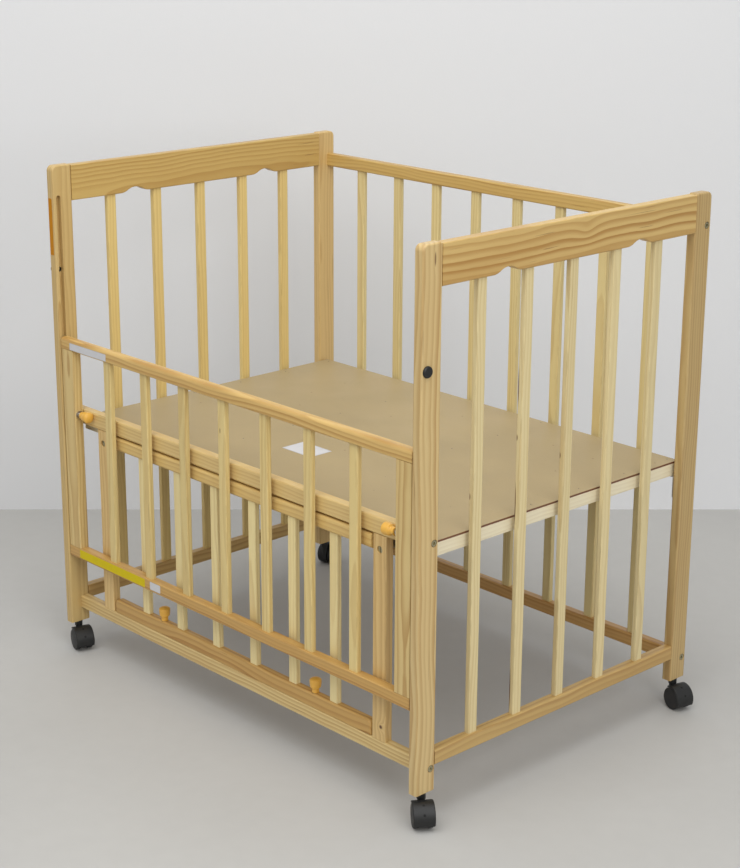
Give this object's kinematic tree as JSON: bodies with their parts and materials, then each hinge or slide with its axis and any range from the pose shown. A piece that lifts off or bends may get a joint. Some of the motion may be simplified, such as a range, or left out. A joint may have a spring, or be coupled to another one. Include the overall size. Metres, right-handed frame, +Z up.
{
  "type": "baby crib",
  "caption": "Small wooden baby crib with slatted sides, a drop gate on spring plungers, a hinged slatted door below it, a flat bed board and swivel casters.",
  "frame": {"origin": "on the floor below the middle of the four posts", "axes": "+X to the right along the length, +Y to the back, away from the drop gate, +Z up"},
  "size_m": [0.9937, 0.7026, 0.913],
  "materials": {
    "pine": "satin clear lacquer",
    "pale_pine": "raw planed",
    "hardboard": "smooth hardboard",
    "zinc_steel": "zinc plated",
    "yellow_zinc": "yellow zinc",
    "yellow_plastic": "moulded gloss",
    "black_plastic": "moulded satin"
  },
  "bodies": {
    "frame": {"left_front_post": "pine", "left_back_post": "pine", "right_front_post": "pine", "right_back_post": "pine", "left_top_rail": "pine", "right_top_rail": "pine", "end_bottom_rails": "pine", "left_end_slats": "pine", "right_end_slats": "pine", "frame_dowels": "pale_pine", "back_top_rail": "pine", "back_bottom_rail": "pine", "back_slats": "pine", "front_middle_rail": "pine", "front_bottom_rail": "pine", "door_jambs": "pine", "bed_board": "hardboard", "bed_long_rails": "pale_pine", "bed_cross_rails": "pale_pine", "bed_brackets": "zinc_steel", "bracket_screws": "zinc_steel", "frame_bolts": "yellow_zinc", "jamb_studs": "zinc_steel", "barrel_nuts": "yellow_zinc", "caster_sockets": "black_plastic", "catch_bushes": "black_plastic"},
    "gate": {"gate_top_rail": "pine", "gate_bottom_rail": "pine", "gate_stiles": "pine", "gate_slats": "pine", "gate_guide_pins": "zinc_steel", "plunger_bushes": "zinc_steel"},
    "door": {"door_top_rail": "pine", "door_bottom_beam": "pine", "door_slats": "pine", "door_pivot_pins": "zinc_steel"},
    "left_plunger": {"left_plunger_knob": "yellow_plastic", "left_plunger_pin": "zinc_steel"},
    "left_lift": {"left_lift_knob": "yellow_plastic", "left_lift_pin": "zinc_steel"},
    "right_plunger": {"right_plunger_knob": "yellow_plastic", "right_plunger_pin": "zinc_steel"},
    "right_lift": {"right_lift_knob": "yellow_plastic", "right_lift_pin": "zinc_steel"},
    "left_front_caster": {"left_front_caster_body": "black_plastic", "left_front_caster_stem": "zinc_steel"},
    "left_front_wheels": {"left_front_caster_wheels": "black_plastic", "left_front_caster_axle": "zinc_steel"},
    "left_back_caster": {"left_back_caster_body": "black_plastic", "left_back_caster_stem": "zinc_steel"},
    "left_back_wheels": {"left_back_caster_wheels": "black_plastic", "left_back_caster_axle": "zinc_steel"},
    "right_front_caster": {"right_front_caster_body": "black_plastic", "right_front_caster_stem": "zinc_steel"},
    "right_front_wheels": {"right_front_caster_wheels": "black_plastic", "right_front_caster_axle": "zinc_steel"},
    "right_back_caster": {"right_back_caster_body": "black_plastic", "right_back_caster_stem": "zinc_steel"},
    "right_back_wheels": {"right_back_caster_wheels": "black_plastic", "right_back_caster_axle": "zinc_steel"}
  },
  "joints": [
    {"name": "gate_slide", "type": "slide", "parent": "frame", "child": "gate", "axis": [0, 0, 1], "range_m": [0, 0.26]},
    {"name": "door_hinge", "type": "hinge", "parent": "frame", "child": "door", "pos_m": [0, -0.3005, 0.4305], "axis": [1, 0, 0], "range_deg": [0, 40]},
    {"name": "left_plunger_pull", "type": "slide", "parent": "gate", "child": "left_plunger", "axis": [1, 0, 0], "range_m": [0, 0.01], "stiffness_N_per_m": 400, "springref_m": -0.008},
    {"name": "right_plunger_pull", "type": "slide", "parent": "gate", "child": "right_plunger", "axis": [-1, 0, 0], "range_m": [0, 0.01], "stiffness_N_per_m": 400, "springref_m": -0.008},
    {"name": "left_lift_slide", "type": "slide", "parent": "door", "child": "left_lift", "axis": [0, 0, 1], "range_m": [-0.005, 0]},
    {"name": "right_lift_slide", "type": "slide", "parent": "door", "child": "right_lift", "axis": [0, 0, 1], "range_m": [-0.005, 0]},
    {"name": "left_front_swivel", "type": "hinge", "parent": "frame", "child": "left_front_caster", "pos_m": [-0.461, -0.3115, 0], "axis": [0, 0, 1], "continuous": true},
    {"name": "left_front_roll", "type": "hinge", "parent": "left_front_caster", "child": "left_front_wheels", "pos_m": [-0.44515, -0.31608, 0.02], "axis": [0.2773, 0.9608, 0], "continuous": true},
    {"name": "left_back_swivel", "type": "hinge", "parent": "frame", "child": "left_back_caster", "pos_m": [-0.461, 0.3115, 0], "axis": [0, 0, 1], "continuous": true},
    {"name": "left_back_roll", "type": "hinge", "parent": "left_back_caster", "child": "left_back_wheels", "pos_m": [-0.46637, 0.3271, 0.02], "axis": [-0.9455, -0.3256, 0], "continuous": true},
    {"name": "right_front_swivel", "type": "hinge", "parent": "frame", "child": "right_front_caster", "pos_m": [0.461, -0.3115, 0], "axis": [0, 0, 1], "continuous": true},
    {"name": "right_front_roll", "type": "hinge", "parent": "right_front_caster", "child": "right_front_wheels", "pos_m": [0.47442, -0.3211, 0.02], "axis": [0.5821, 0.8131, 0], "continuous": true},
    {"name": "right_back_swivel", "type": "hinge", "parent": "frame", "child": "right_back_caster", "pos_m": [0.461, 0.3115, 0], "axis": [0, 0, 1], "continuous": true},
    {"name": "right_back_roll", "type": "hinge", "parent": "right_back_caster", "child": "right_back_wheels", "pos_m": [0.47699, 0.30743, 0.02], "axis": [0.247, 0.969, 0], "continuous": true}
  ]
}
